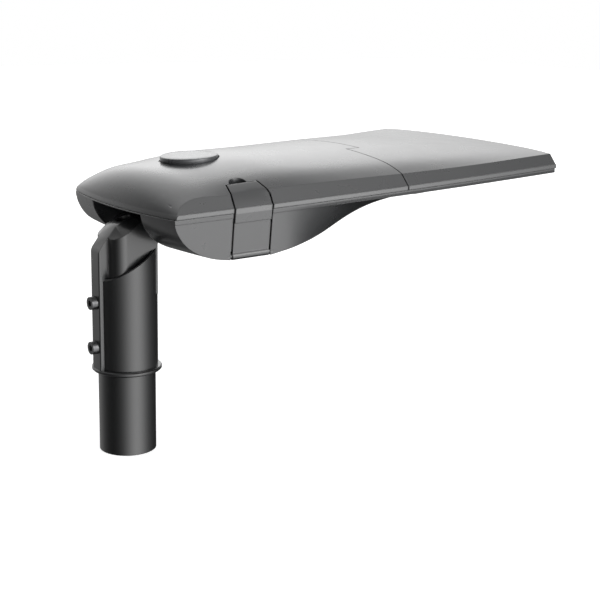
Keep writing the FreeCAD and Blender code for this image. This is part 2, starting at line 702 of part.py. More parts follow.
# Lighting unit: glass on its seal, bezel and screws, lenses, board and plate
pane = box(led_x0 + glass_fit, led_x1 - glass_fit, -led_half + glass_fit, led_half - glass_fit,
           panel_z, panel_z + glass_h)
head("cover_glass", pane)
glass_seal = box(led_x0 + glass_fit, led_x1 - glass_fit, -led_half + glass_fit, led_half - glass_fit,
                 panel_z + glass_h, panel_z + glass_h + glass_seal_h)
glass_seal = glass_seal.cut(box(inner_x0, inner_x1, -inner_half, inner_half, 100, 200))
head("glass_seal", glass_seal)
bezel = box(led_x0 - rim, led_x1 + rim, -led_half - rim, led_half + rim, panel_z - bezel_h, panel_z)
bezel = bezel.makeFillet(rim, [e for e in bezel.Edges if e.BoundBox.ZLength > bezel_h - 0.1])
window = led_half - bezel_lap
bezel = bezel.cut(box(led_x0 + bezel_lap, led_x1 - bezel_lap, -window, window, 100, 200))
flush = Part.makeCone(screw_head_r - sink_fit, screw_r - sink_fit, sink_h)
flush = flush.fuse(rod(screw_r, bezel_h + 5.0, (0, 0, 0)))
for x, y in spots:
    sunk = Part.makeCone(screw_head_r, screw_r, sink_h, Vector(x, y, panel_z - bezel_h))
    bezel = bezel.cut(sunk.fuse(rod(screw_r + 0.3, 20, (x, y, panel_z - 10))))
head("glass_bezel", bezel)
placed = [flush.translated(Vector(x, y, panel_z - bezel_h)) for x, y in spots]
head("bezel_screws", Part.makeCompound(placed))
hexhead = hexagon(2 * screw_head_r - 1.0, screw_head_h, (0, 0, -screw_head_h), Vector(0, 0, 1))

board_z = part_z + coaming_h
plate = box(led_x0, led_x1, -led_half, led_half, board_z, board_z + plate_h)
pitch = 2 * (inner_half - 6.0) / (fin_count - 1)
fins = []
for k in range(fin_count):
    y = k * pitch - inner_half + 6.0
    fins.append(box(inner_x0, inner_x1, y - fin_w / 2, y + fin_w / 2, board_z + plate_h - 0.5,
                    board_z + plate_h + fin_h))
head("heat_plate", plate.fuse(fins))
board = box(inner_x0 + board_fit, inner_x1 - board_fit, -inner_half + board_fit, inner_half - board_fit,
            board_z - board_h, board_z)
head("led_board", board)
lens_base = board.translated(Vector(0, 0, -board_h))
lens_base = lens_base.common(region(-60, 560, board_z - board_h - lens_plate, 300))
dx = (inner_x1 - inner_x0 - 8.0) / led_rows
dy = (2 * inner_half - 8.0) / led_cols
domes = []
for i in range(led_rows):
    for j in range(led_cols):
        x = inner_x0 + 4.0 + dx * (i + 0.5)
        y = -inner_half + 4.0 + dy * (j + 0.5)
        cell = Part.makeWedge(x - lens_half, 0, y - lens_half, y - lens_top, x - lens_top,
                              x + lens_half, lens_h - lens_plate, y + lens_half, y + lens_top, x + lens_top)
        cell.rotate(Vector(0, 0, 0), Vector(1, 0, 0), -90)
        domes.append(mirrored(cell).translated(Vector(0, 0, board_z - board_h - lens_plate)))
head("lens_array", lens_base.fuse(domes))

# Gear: tray on four stands, driver, surge protector and terminal block
tray = box(tray_x0, tray_x1, -tray_half, tray_half, tray_z, tray_z + tray_h)
pan = hexhead.translated(Vector(0, 0, screw_head_h)).fuse(rod(screw_r, 7.0, (0, 0, -7.0)))
pans = []
for x, s in tray_posts:
    tray = tray.cut(rod(screw_r + 0.3, 10, (x, s * tray_y, tray_z - 5)))
    pans.append(pan.translated(Vector(x, s * tray_y, tray_z + tray_h)))
head("gear_tray", tray)
head("tray_screws", Part.makeCompound(pans))
gear_z = tray_z + tray_h
driver = Part.makeBox(driver_w, driver_len, driver_h,
                      Vector(driver_x - driver_w / 2, driver_y - driver_len / 2, gear_z))
driver = driver.makeChamfer(2.0, [e for e in driver.Edges if e.BoundBox.ZMin > gear_z + 1])
head("led_driver", driver)
surge = Part.makeBox(surge_len, surge_w, surge_h,
                     Vector(surge_x - surge_len / 2, surge_y - surge_w / 2, gear_z))
head("surge_protector", surge.makeChamfer(1.5, [e for e in surge.Edges if e.BoundBox.ZMin > gear_z + 1]))
block = Part.makeBox(block_w, block_len, block_h, Vector(block_x - block_w / 2, -block_len / 2, gear_z))
for k in range(5):
    y = -block_len / 2 + block_len * (k + 0.5) / 5
    block = block.cut(Part.makeBox(7, 6, 7, Vector(block_x - block_w / 2 - 1, y - 3, gear_z + 5)))
    block = block.cut(Part.makeBox(6, 6, 5, Vector(block_x - 3, y - 3, gear_z + block_h - 4)))
head("terminal_block", block)

# Cable gland and breather in the wall between chamber and gear room
cable_gland = hexagon(19.0, 6.0, (chamber_front - 6.0, gland_y, gland_z), Vector(1, 0, 0))
cable_gland = cable_gland.fuse(rod(gland_r, wall + 5.5, (chamber_front, gland_y, gland_z), Vector(1, 0, 0)))
inner_nut = hexagon(19.0, 4.0, (chamber_front + wall, gland_y, gland_z), Vector(1, 0, 0))
cable_gland = cable_gland.fuse(inner_nut)
cable_gland = cable_gland.cut(rod(4.5, 60, (chamber_front - 30, gland_y, gland_z), Vector(1, 0, 0)))
head("cable_gland", cable_gland)
breather = rod(vent_r + 2.5, 3.0, (chamber_front - 3.0, vent_y, gland_z), Vector(1, 0, 0))
breather = breather.fuse(rod(vent_r, wall + 3.0, (chamber_front, vent_y, gland_z), Vector(1, 0, 0)))
head("breather_plug", breather)

# Screws that hold the front cover from below
long_screw = hexhead.fuse(rod(screw_r, 14.0, (0, 0, 0)))
screw_z = part_z - strip_h + screw_head_h
long_screws = [long_screw.translated(Vector(x, boss_y(x, s), screw_z)) for x, s in bosses]
head("cover_screws", Part.makeCompound(long_screws))
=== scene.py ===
import math
import bmesh
import bpy
from mathutils import Matrix, Vector


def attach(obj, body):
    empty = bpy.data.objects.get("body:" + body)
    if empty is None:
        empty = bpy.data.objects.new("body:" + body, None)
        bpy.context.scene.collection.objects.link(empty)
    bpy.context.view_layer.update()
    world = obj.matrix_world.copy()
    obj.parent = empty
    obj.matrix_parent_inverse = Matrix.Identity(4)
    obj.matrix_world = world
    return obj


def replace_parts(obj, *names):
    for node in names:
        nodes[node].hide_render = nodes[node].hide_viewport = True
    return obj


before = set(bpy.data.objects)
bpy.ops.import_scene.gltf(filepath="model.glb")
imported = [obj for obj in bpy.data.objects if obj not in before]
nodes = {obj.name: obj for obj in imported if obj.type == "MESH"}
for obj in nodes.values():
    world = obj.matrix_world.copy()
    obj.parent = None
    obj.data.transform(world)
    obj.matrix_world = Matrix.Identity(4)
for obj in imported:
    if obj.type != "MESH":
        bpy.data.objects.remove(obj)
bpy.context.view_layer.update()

# Bracket casting: the socket that slips over the post, with its clamp pad and the tongue that the
# head tilts on. It is die-cast aluminium in a satin dark grey powder coat, pinched to the post by
# two screws from the rear.


def soften(piece, angle):
    weld = piece.modifiers.new("joined corners", "WELD")
    weld.merge_threshold = 0.000002
    split = piece.modifiers.new("crisp edges", "EDGE_SPLIT")
    split.split_angle = math.radians(angle)
    piece.data.polygons.foreach_set("use_smooth", [True] * len(piece.data.polygons))


def group(name, inputs, outputs):
    tree = bpy.data.node_groups.new(name, "ShaderNodeTree")
    for label, kind, value in inputs:
        socket = tree.interface.new_socket(label, in_out="INPUT", socket_type="NodeSocket" + kind)
        socket.default_value = value
    for label, kind in outputs:
        tree.interface.new_socket(label, in_out="OUTPUT", socket_type="NodeSocket" + kind)
    return tree, tree.nodes.new("NodeGroupInput"), tree.nodes.new("NodeGroupOutput")


def placed(tree, kind, **settings):
    node = tree.nodes.new("ShaderNode" + kind)
    for name, value in settings.items():
        setattr(node, name, value)
    return node


# A source is another node's output or a plain value
def feed(tree, source, socket):
    if isinstance(source, bpy.types.NodeSocket):
        tree.links.new(source, socket)
    else:
        socket.default_value = source


def maths(tree, operation, *sources):
    node = placed(tree, "Math", operation=operation)
    for source, socket in zip(sources, node.inputs):
        feed(tree, source, socket)
    return node.outputs[0]


def vector_maths(tree, operation, *sources):
    node = placed(tree, "VectorMath", operation=operation)
    second = "Scale" if operation == "SCALE" else 1
    for source, socket in zip(sources, (node.inputs[0], node.inputs[second])):
        feed(tree, source, socket)
    return node.outputs["Value" if operation in ("DOT_PRODUCT", "LENGTH") else "Vector"]


def blended(tree, share, first, second):
    node = placed(tree, "Mix", data_type="RGBA")
    first_colour, second_colour, result = node.inputs[6], node.inputs[7], node.outputs[2]
    feed(tree, share, node.inputs["Factor"])
    feed(tree, first, first_colour)
    feed(tree, second, second_colour)
    return result


def ramp(tree, source, low, high, to_low=0.0, to_high=1.0):
    node = placed(tree, "MapRange", interpolation_type="SMOOTHSTEP")
    tree.links.new(source, node.inputs["Value"])
    node.inputs["From Min"].default_value = low
    node.inputs["From Max"].default_value = high
    node.inputs["To Min"].default_value = to_low
    node.inputs["To Max"].default_value = to_high
    return node.outputs["Result"]


def noise(tree, where, scale, detail=2.0):
    node = placed(tree, "TexNoise")
    tree.links.new(where, node.inputs["Vector"])
    node.inputs["Scale"].default_value = scale
    node.inputs["Detail"].default_value = detail
    return node.outputs["Fac"]


# Soft patches of a cloudy noise, from one value to another
def patchy(tree, where, scale, detail=2.0, to_low=0.0, to_high=1.0):
    cloud_low, cloud_high = 0.3, 0.7
    return ramp(tree, noise(tree, where, scale, detail), cloud_low, cloud_high, to_low, to_high)


# Sprayed coat: fine orange peel, a slow drift of tone, painted shade that darkens the colour in
# gaps a few millimetres wide, and a thin brighter line along edges that is partly rub wear and
# partly painted highlight
def coat_group():
    drift_scale, drift_low, drift_high = 9.0, 0.93, 1.07
    gap_width, gap_shade_tone = 0.004, 0.10
    edge_line_radius, edge_line_break_scale = 0.0009, 140.0
    gloss_scale, peel_scale = 35.0, 1500.0
    tree, given, out = group(
        "sprayed coat",
        [("Colour", "Color", (0.1, 0.1, 0.1, 1)), ("Edge wear and highlight", "Color", (0.3, 0.3, 0.3, 1)),
         ("Edge", "Float", 0.35), ("Gloss low", "Float", 0.3), ("Gloss high", "Float", 0.4)],
        [("Colour", "Color"), ("Roughness", "Float"), ("Height", "Float")])
    where = placed(tree, "TexCoord").outputs["Object"]
    drift = patchy(tree, where, drift_scale, 3.0, drift_low, drift_high)
    toned = vector_maths(tree, "SCALE", given.outputs["Colour"], drift)
    # Painted shade: an occlusion mask darkens the coat's colour in gaps and seams, where shade
    # falls
    open_sky = placed(tree, "AmbientOcclusion", samples=6)
    open_sky.inputs["Distance"].default_value = gap_width
    painted_gap_shade = ramp(tree, open_sky.outputs["AO"], low=0.15, high=0.62, to_low=gap_shade_tone)
    shaded_colour = vector_maths(tree, "SCALE", toned, painted_gap_shade)
    # Edge line: a lighter colour along edges, broken by noise, partly rub wear and partly a painted
    # highlight
    rounded = placed(tree, "Bevel", samples=6)
    rounded.inputs["Radius"].default_value = edge_line_radius
    plain = placed(tree, "NewGeometry")
    facing = vector_maths(tree, "DOT_PRODUCT", rounded.outputs["Normal"], plain.outputs["Normal"])
    broken = ramp(tree, noise(tree, where, edge_line_break_scale, detail=4.0), low=0.42, high=0.62)
    wear_and_highlight_line = ramp(tree, facing, low=0.999, high=0.93)
    amount = maths(tree, "MULTIPLY", wear_and_highlight_line, broken)
    share = maths(tree, "MULTIPLY", amount, given.outputs["Edge"])
    colour = blended(tree, share, shaded_colour, given.outputs["Edge wear and highlight"])
    tree.links.new(colour, out.inputs["Colour"])
    gloss = placed(tree, "MapRange")
    tree.links.new(noise(tree, where, gloss_scale, detail=4.0), gloss.inputs["Value"])
    tree.links.new(given.outputs["Gloss low"], gloss.inputs["To Min"])
    tree.links.new(given.outputs["Gloss high"], gloss.inputs["To Max"])
    tree.links.new(gloss.outputs["Result"], out.inputs["Roughness"])
    tree.links.new(noise(tree, where, peel_scale, detail=1.0), out.inputs["Height"])
    return tree


def material(name, metal=0.0, **fixed):
    look = bpy.data.materials.new(name)
    look.use_nodes = True
    shader = look.node_tree.nodes["Principled BSDF"]
    shader.inputs["Metallic"].default_value = metal
    for label, value in fixed.items():
        shader.inputs[label.replace("_", " ")].default_value = value
    return look, look.node_tree, shader


def bumped(tree, shader, height, distance, surface=None):
    bump = placed(tree, "Bump")
    bump.inputs["Distance"].default_value = distance
    bump.inputs["Strength"].default_value = 1.0
    tree.links.new(height, bump.inputs["Height"])
    if surface is not None:
        tree.links.new(surface, bump.inputs["Normal"])
    tree.links.new(bump.outputs["Normal"], shader.inputs["Normal"])


sprayed_coat = coat_group()


def powder_coat(name, colour, edge_wear_and_highlight, gloss, peel, edge_radius, turned=None, **fixed):
    look, tree, shader = material(name, **fixed)
    coat = placed(tree, "Group", node_tree=sprayed_coat)
    coat.inputs["Colour"].default_value = (*colour, 1)
    coat.inputs["Edge wear and highlight"].default_value = (*edge_wear_and_highlight, 1)
    coat.inputs["Gloss low"].default_value, coat.inputs["Gloss high"].default_value = gloss
    tree.links.new(coat.outputs["Colour"], shader.inputs["Base Color"])
    tree.links.new(coat.outputs["Roughness"], shader.inputs["Roughness"])
    rounded = placed(tree, "Bevel", samples=8)
    rounded.inputs["Radius"].default_value = edge_radius
    surface = rounded.outputs["Normal"]
    if turned is not None:
        leaned = placed(tree, "Group", node_tree=turned)
        tree.links.new(surface, leaned.inputs["Normal"])
        surface = leaned.outputs["Normal"]
    bumped(tree, shader, coat.outputs["Height"], peel, surface)
    return look


def finish_node(name, look, angle=28.0):
    piece = nodes[name]
    piece.data.materials.clear()
    piece.data.materials.append(look)
    soften(piece, angle)


# The lighter edge colour given here is partly rub wear and partly a painted highlight
bracket_coat = powder_coat(
    "bracket coat", colour=(0.011, 0.0115, 0.012), edge_wear_and_highlight=(0.10, 0.10, 0.105), gloss=(0.26, 0.33),
    peel=0.00002, edge_radius=0.0012, Coat_Weight=0.5, Coat_Roughness=0.22)
finish_node("socket_bracket", bracket_coat)

# Post: the top of a 60 mm steel tube, which the bracket slips over. It is sprayed in the same dark
# grey as the bracket.
finish_node("pole_tube", bracket_coat)

# Rain collar: a plain turned ring that closes the socket's lower end round the post. It has the
# bracket's coat.
finish_node("collar_ring", bracket_coat)


# Clamp screws: two M8 socket head screws of blackened steel. They pass through the pad at the rear
# and press on the post.
def plain_coat(name, colour, gloss, grain, depth, metal=0.0, drift=0.06, **fixed):
    patch_scale, shine_scale = 60.0, 220.0
    look, tree, shader = material(name, metal=metal, **fixed)
    where = placed(tree, "TexCoord").outputs["Object"]
    patches = patchy(tree, where, patch_scale, 3.0)
    darker, lighter = ((*[part * tone for part in colour], 1) for tone in (1 - drift, 1 + drift))
    tree.links.new(blended(tree, patches, darker, lighter), shader.inputs["Base Color"])
    shine_low, shine_high = 0.25, 0.75
    shine = ramp(tree, noise(tree, where, shine_scale, 3.0), shine_low, shine_high, *gloss)
    tree.links.new(shine, shader.inputs["Roughness"])
    bumped(tree, shader, noise(tree, where, grain), depth)
    return look


black_steel = plain_coat("blackened steel", colour=(0.10, 0.10, 0.102), gloss=(0.30, 0.45),
                         grain=900.0, depth=0.000015, metal=0.9)
finish_node("clamp_screws", black_steel)

# Knuckle: a stainless M10 bolt through the two lugs and the tongue, with its nut and washers. The
# faces are turned and rolled, so they are bright with a fine grain.
stainless = plain_coat("stainless steel", colour=(0.50, 0.50, 0.49), gloss=(0.20, 0.36),
                       grain=1400.0, depth=0.000006, metal=1.0)
for name in ("knuckle_bolt", "knuckle_nut", "knuckle_washers"):
    finish_node(name, stainless)

# Lower housing: tub and lighting panel in one die casting, in a satin dark grey coat that is
# smoother than the bracket's. Its upright band leans in a little, as a cast side does, and the side
# of the tub turns away towards the lamp end.
head_tilt = math.radians(3.05)
knuckle = Vector((0.038, 0, 0.24186))


def side_group():
    parting_above_knuckle, band_lean = 0.022, 0.26
    band_foot, band_top, tub_rim = (-0.0012, -0.0002), (0.0056, 0.0048), (-0.0012, -0.0030)
    tub_starts, tub_full, tub_turn = 0.098, 0.185, 0.65
    tree, given, out = group(
        "turned side", [("Normal", "Vector", (0, 0, 1))], [("Normal", "Vector")])
    head_up = Vector((-math.sin(head_tilt), 0, math.cos(head_tilt)))
    parting = knuckle.dot(head_up) + parting_above_knuckle
    where = placed(tree, "TexCoord").outputs["Object"]
    rise = vector_maths(tree, "DOT_PRODUCT", where, head_up)
    above = ramp(tree, rise, *[parting + edge for edge in band_foot])
    under = ramp(tree, rise, *[parting + edge for edge in band_top])
    lean = maths(tree, "MULTIPLY", maths(tree, "MULTIPLY", above, under), band_lean)
    reach = placed(tree, "SeparateXYZ")
    tree.links.new(where, reach.inputs[0])
    facing = placed(tree, "SeparateXYZ")
    tree.links.new(given.outputs["Normal"], facing.inputs[0])
    sideways = maths(tree, "ABSOLUTE", facing.outputs["Y"])
    tub = ramp(tree, rise, *[parting + edge for edge in tub_rim])
    along = ramp(tree, reach.outputs["X"], tub_starts, tub_full, 0.0, tub_turn)
    turn = maths(tree, "MULTIPLY", maths(tree, "MULTIPLY", tub, along), sideways)
    shift = placed(tree, "CombineXYZ")
    tree.links.new(turn, shift.inputs["X"])
    tree.links.new(lean, shift.inputs["Z"])
    added = vector_maths(tree, "ADD", given.outputs["Normal"], shift.outputs[0])
    tree.links.new(vector_maths(tree, "NORMALIZE", added), out.inputs["Normal"])
    return tree


# The lighter edge colour given here is partly rub wear and partly a painted highlight
head_coat = powder_coat(
    "head coat", colour=(0.028, 0.029, 0.0305), edge_wear_and_highlight=(0.16, 0.16, 0.17), gloss=(0.25, 0.31),
    peel=0.000012, edge_radius=0.0014, turned=side_group(), Coat_Weight=0.5, Coat_Roughness=0.18)
finish_node("lower_housing", head_coat)

# Cover gasket and glass seal: soft black rubber, matt. Each is a moulded ring, pressed flat in its
# joint.
rubber = plain_coat("black rubber", colour=(0.022, 0.022, 0.023), gloss=(0.62, 0.78),
                    grain=700.0, depth=0.00004)
finish_node("cover_gasket", rubber)
finish_node("glass_seal", rubber)


# Glass: a flat tempered pane that closes the lighting panel from below. It is clear, and lies
# between its seal and the bezel.
def clear_look(name, tint, shine, scale, detail=2.0, **fixed):
    look, tree, shader = material(name, **fixed)
    shader.inputs["Base Color"].default_value = (*tint, 1)
    where = placed(tree, "TexCoord").outputs["Object"]
    film = patchy(tree, where, scale, detail, *shine)
    tree.links.new(film, shader.inputs["Roughness"])
    return look


glass = clear_look("clear glass", tint=(0.93, 0.97, 0.96), shine=(0.01, 0.05), scale=30.0,
                   detail=4.0, Transmission_Weight=1.0, IOR=1.5)
finish_node("cover_glass", glass)

# Bezel: a cast frame in the head's own coat. Six screws draw it up, so that it holds the glass
# against its seal.
finish_node("glass_bezel", head_coat)


# Small screws: stainless, with a six-lobed recess. Six are sunk in the bezel, four hold the front
# cover from below, and four hold the gear tray on its stands.
def on_head(x, y, z):
    tilt = Matrix.Rotation(-head_tilt, 4, "Y")
    return Matrix.Translation(knuckle) @ tilt @ Matrix.Translation(Vector((x, y, z)) - knuckle)


def face_height(face):
    return face.calc_center_median().z


def pushed_out(mesh, face, distance):
    grown = bmesh.ops.extrude_face_region(mesh, geom=[face])["geom"]
    verts = [part for part in grown if isinstance(part, bmesh.types.BMVert)]
    bmesh.ops.translate(mesh, verts=verts, vec=(0, 0, distance))
    bmesh.ops.delete(mesh, geom=[face], context="FACES_ONLY")


def lobed_screw(mesh, seat, looks_up, head_r, neck_r, head_h, shank_r, shank_len):
    rim, dish, recess_edge, recess_depth = 0.14, 0.05, 0.34, 0.7
    lobes = (1.0, 0.9, 0.74, 0.9)
    earlier = set(mesh.verts)
    head = bmesh.ops.create_cone(mesh, cap_ends=True, segments=24, radius1=neck_r, radius2=head_r,
                                 depth=head_h)["verts"]
    bmesh.ops.translate(mesh, verts=head, vec=(0, 0, head_h / 2))
    faces = {face for vert in head for face in vert.link_faces}
    top, bottom = max(faces, key=face_height), min(faces, key=face_height)
    bmesh.ops.inset_region(mesh, faces=[top], thickness=head_r * rim, depth=head_r * dish)
    bmesh.ops.inset_region(mesh, faces=[top], thickness=head_r * recess_edge)
    for place, vert in enumerate(top.verts):
        pull = lobes[place % len(lobes)]
        vert.co.x *= pull
        vert.co.y *= pull
    pushed_out(mesh, top, -head_h * recess_depth)
    bmesh.ops.inset_region(mesh, faces=[bottom], thickness=neck_r - shank_r)
    pushed_out(mesh, bottom, -shank_len)
    flip = Matrix.Identity(4) if looks_up else Matrix.Rotation(math.pi, 4, "X")
    bmesh.ops.transform(mesh, matrix=on_head(*seat) @ flip,
                        verts=[vert for vert in mesh.verts if vert not in earlier])


def made_piece(name, mesh, look, body, angle=28.0):
    data = bpy.data.meshes.new(name)
    bmesh.ops.recalc_face_normals(mesh, faces=mesh.faces)
    mesh.to_mesh(data)
    mesh.free()
    piece = bpy.data.objects.new(name, data)
    bpy.context.scene.collection.objects.link(piece)
    data.materials.append(look)
    soften(piece, angle)
    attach(piece, body)
    return piece


def head_half_width(x):
    at_start, widening, narrowing = 0.1054, 0.1705, 0.1359
    return at_start + widening * x - narrowing * x * x


sunk_screw = {"head_r": 0.00365, "neck_r": 0.00185, "head_h": 0.0016, "shank_r": 0.00185,
              "shank_len": 0.0054}
pan_screw = {"head_r": 0.0034, "neck_r": 0.0036, "head_h": 0.0022, "shank_r": 0.0019}
bezel_rows, bezel_screw_y, bezel_face = (0.306, 0.373, 0.440), 0.112, 0.25236
sunk = bmesh.new()
for x in bezel_rows:
    for side in (-1, 1):
        seat = (x, side * bezel_screw_y, bezel_face + sunk_screw["head_h"])
        lobed_screw(sunk, seat, looks_up=False, **sunk_screw)
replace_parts(made_piece("bezel_screw_set", sunk, stainless, "head"), "bezel_screws")
cover_rows, cover_inset, cover_face, cover_shank = (0.304, 0.453), 0.014, 0.26136, 0.012
held = bmesh.new()
for x in cover_rows:
    for side in (-1, 1):
        seat = (x, side * (head_half_width(x) - cover_inset), cover_face)
        lobed_screw(held, seat, looks_up=False, shank_len=cover_shank, **pan_screw)
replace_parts(made_piece("cover_screw_set", held, stainless, "head"), "cover_screws")
tray_rows, tray_screw_y, tray_face, tray_shank = (0.080, 0.170), 0.072, 0.24236, 0.007
pans = bmesh.new()
for x in tray_rows:
    for side in (-1, 1):
        seat = (x, side * tray_screw_y, tray_face)
        lobed_screw(pans, seat, looks_up=True, shank_len=tray_shank, **pan_screw)
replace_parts(made_piece("tray_screw_set", pans, stainless, "head"), "tray_screws")

# Heat plate: an extruded aluminium plate with fins above. The light board is screwed to its flat
# side.
bright_metal = plain_coat("mill aluminium", colour=(0.62, 0.63, 0.64), gloss=(0.28, 0.42),
                          grain=500.0, depth=0.00001, metal=1.0)
finish_node("heat_plate", bright_metal)

# Light board: white solder mask over copper, whose tracks show as faint lines. It is fixed flat
# against the heat plate.
track_scale, track_gap, track_depth = 60.0, 0.012, 0.00003
board_look, tree, shader = material("white solder mask", Coat_Weight=0.3)
where = placed(tree, "TexCoord").outputs["Object"]
tracks = placed(tree, "TexBrick")
tree.links.new(where, tracks.inputs["Vector"])
tracks.inputs["Scale"].default_value = track_scale
tracks.inputs["Mortar Size"].default_value = track_gap
tracks.inputs["Color1"].default_value = (0.80, 0.81, 0.79, 1)
tracks.inputs["Color2"].default_value = (0.77, 0.78, 0.76, 1)
tracks.inputs["Mortar"].default_value = (0.60, 0.60, 0.57, 1)
tree.links.new(tracks.outputs["Color"], shader.inputs["Base Color"])
board_shine = patchy(tree, where, scale=90.0, to_low=0.30, to_high=0.42)
tree.links.new(board_shine, shader.inputs["Roughness"])
bumped(tree, shader, tracks.outputs["Fac"], track_depth)
finish_node("led_board", board_look)

# Lens plate: clear moulded plastic, with one two-lobed dome over each light chip. It lies flat
# under the board, and the glass protects it.
lens_look = clear_look("clear moulding", tint=(0.92, 0.95, 0.96), shine=(0.04, 0.12), scale=120.0,
                       Transmission_Weight=0.9, IOR=1.49)
first_row, row_step, rows = 0.308, 0.0325, 4
first_column, column_step, columns = -0.096, 0.032, 6
lens_spots = [(first_row + row_step * (row + 0.5), first_column + column_step * (column + 0.5))
              for row in range(rows) for column in range(columns)]
plate_size, plate_place, plate_edge = (0.134, 0.196, 0.0015), (0.373, 0, 0.26611), 0.0004
dome_size, dome_height = (0.0078, 0.0066, 0.0040), 0.26536
waist_least, waist_swell, waist_reach = 0.86, 0.14, 1.6
lenses = bmesh.new()
base = bmesh.ops.create_cube(lenses, size=1.0)["verts"]
bmesh.ops.scale(lenses, verts=base, vec=plate_size)
bmesh.ops.bevel(lenses, geom=lenses.edges[:], offset=plate_edge, segments=2, affect="EDGES",
                profile=0.5, material=-1)
bmesh.ops.transform(lenses, matrix=on_head(*plate_place), verts=lenses.verts)
for x, y in lens_spots:
    dome = bmesh.ops.create_uvsphere(lenses, u_segments=24, v_segments=12, radius=1.0)["verts"]
    for vert in dome:
        waist = waist_least + waist_swell * min(1.0, abs(vert.co.x) * waist_reach)
        vert.co.y *= waist
        vert.co.z *= waist
    bmesh.ops.scale(lenses, verts=dome, vec=dome_size)
    bmesh.ops.transform(lenses, matrix=on_head(x, y, dome_height), verts=dome)
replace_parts(made_piece("lens_plate", lenses, lens_look, "head", angle=60.0),
            "lens_array")

# Light chips: a ceramic square with a raised yellow phosphor. One is soldered to the board under
# each lens.
chip_look = plain_coat("phosphor", colour=(0.78, 0.62, 0.16), gloss=(0.35, 0.5),
                       grain=600.0, depth=0.00002)
chip_size, chip_height = (0.0034, 0.0034, 0.0006), 0.26716
phosphor_inset, phosphor_rise = 0.0004, 0.00015
chips = bmesh.new()
for x, y in lens_spots:
    earlier = set(chips.verts)
    chip = bmesh.ops.create_cube(chips, size=1.0)["verts"]
    under = min({face for vert in chip for face in vert.link_faces}, key=face_height)
    bmesh.ops.scale(chips, verts=chip, vec=chip_size)
    bmesh.ops.inset_region(chips, faces=[under], thickness=phosphor_inset, depth=0.0)
    bmesh.ops.translate(chips, verts=under.verts, vec=(0, 0, -phosphor_rise))
    bmesh.ops.transform(chips, matrix=on_head(x, y, chip_height),
                        verts=[vert for vert in chips.verts if vert not in earlier])
made_piece("light_chips", chips, chip_look, "head", angle=30.0)

# Gear tray: zinc plated sheet with the spangle of its plating. It is folded, and screwed down on
# four cast stands.
zinc = plain_coat("zinc sheet", colour=(0.48, 0.49, 0.50), gloss=(0.28, 0.50),
                  grain=300.0, depth=0.00002, metal=1.0, drift=0.14)
finish_node("gear_tray", zinc)

# Driver: the power supply, in a folded aluminium case that is bead blasted. It stands on the gear
# tray.
case_metal = plain_coat("blasted case", colour=(0.52, 0.53, 0.54), gloss=(0.42, 0.55),
                        grain=1100.0, depth=0.00003, metal=0.9)
finish_node("led_driver", case_metal)

# Surge protector, terminal block, gland, breather and the socket base under the cap: moulded
# plastics, white, grey and dark, each with a fine grain.
white_plastic = plain_coat("white moulding", colour=(0.70, 0.71, 0.70), gloss=(0.28, 0.38),
                           grain=500.0, depth=0.00001, drift=0.02)
finish_node("surge_protector", white_plastic)
grey_plastic = plain_coat("grey moulding", colour=(0.30, 0.31, 0.32), gloss=(0.40, 0.52),
                          grain=500.0, depth=0.00002, drift=0.03)
finish_node("terminal_block", grey_plastic)
dark_plastic = plain_coat("dark moulding", colour=(0.035, 0.035, 0.036), gloss=(0.42, 0.55),
                          grain=500.0, depth=0.00002)
for name in ("cable_gland", "breather_plug", "control_socket"):
    finish_node(name, dark_plastic)

# Rear and front cover: the crowned shells, in the same coat as the tub. The rear one is held by the
# two latches, the front one by screws, and a stepped seam parts them.
cover_crease = 15.0
finish_node("rear_cover", head_coat, cover_crease)
finish_node("front_cover", head_coat, cover_crease)

# Side latches: a strip of the shell on a barrel, in the head's coat. Each swings out on a dull
# steel pin.
finish_node("latch_near", head_coat)
finish_node("latch_far", head_coat)
pin_steel = plain_coat("pin steel", colour=(0.16, 0.16, 0.16), gloss=(0.40, 0.55),
                       grain=900.0, depth=0.000008, metal=1.0)
finish_node("latch_pins", pin_steel)

# Round cap: a moulded plastic lid over the control socket. It is turned in form, with a rounded rim
# above an upright side, and its top is very slightly domed.
cap_plastic = plain_coat("cap moulding", colour=(0.085, 0.087, 0.091), gloss=(0.26, 0.34),
                         grain=900.0, depth=0.00001, Coat_Weight=0.4, Coat_Roughness=0.2)
cap_place = (0.080, 0, 0.29946)
cap_line = [(0.0185, 0.0015), (0.0185, 0.0), (0.0296, 0.0), (0.0306, 0.0010), (0.0306, 0.0054),
            (0.03045, 0.0060), (0.03005, 0.0065), (0.0293, 0.0068), (0.0200, 0.0070),
            (0.0100, 0.0071)]
lid = bmesh.new()
chain = [lid.verts.new((radius, 0, height)) for radius, height in cap_line]
edges = [lid.edges.new(pair) for pair in zip(chain, chain[1:])]
bmesh.ops.spin(lid, geom=chain + edges, cent=(0, 0, 0), axis=(0, 0, 1), angle=math.tau, steps=96,
               use_merge=True)
bmesh.ops.remove_doubles(lid, verts=lid.verts, dist=0.00001)
bmesh.ops.holes_fill(lid, edges=[edge for edge in lid.edges if edge.is_boundary], sides=0)
bmesh.ops.transform(lid, matrix=on_head(*cap_place), verts=lid.verts)
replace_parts(made_piece("round_cap", lid, cap_plastic, "head", angle=50.0),
            "socket_cap")

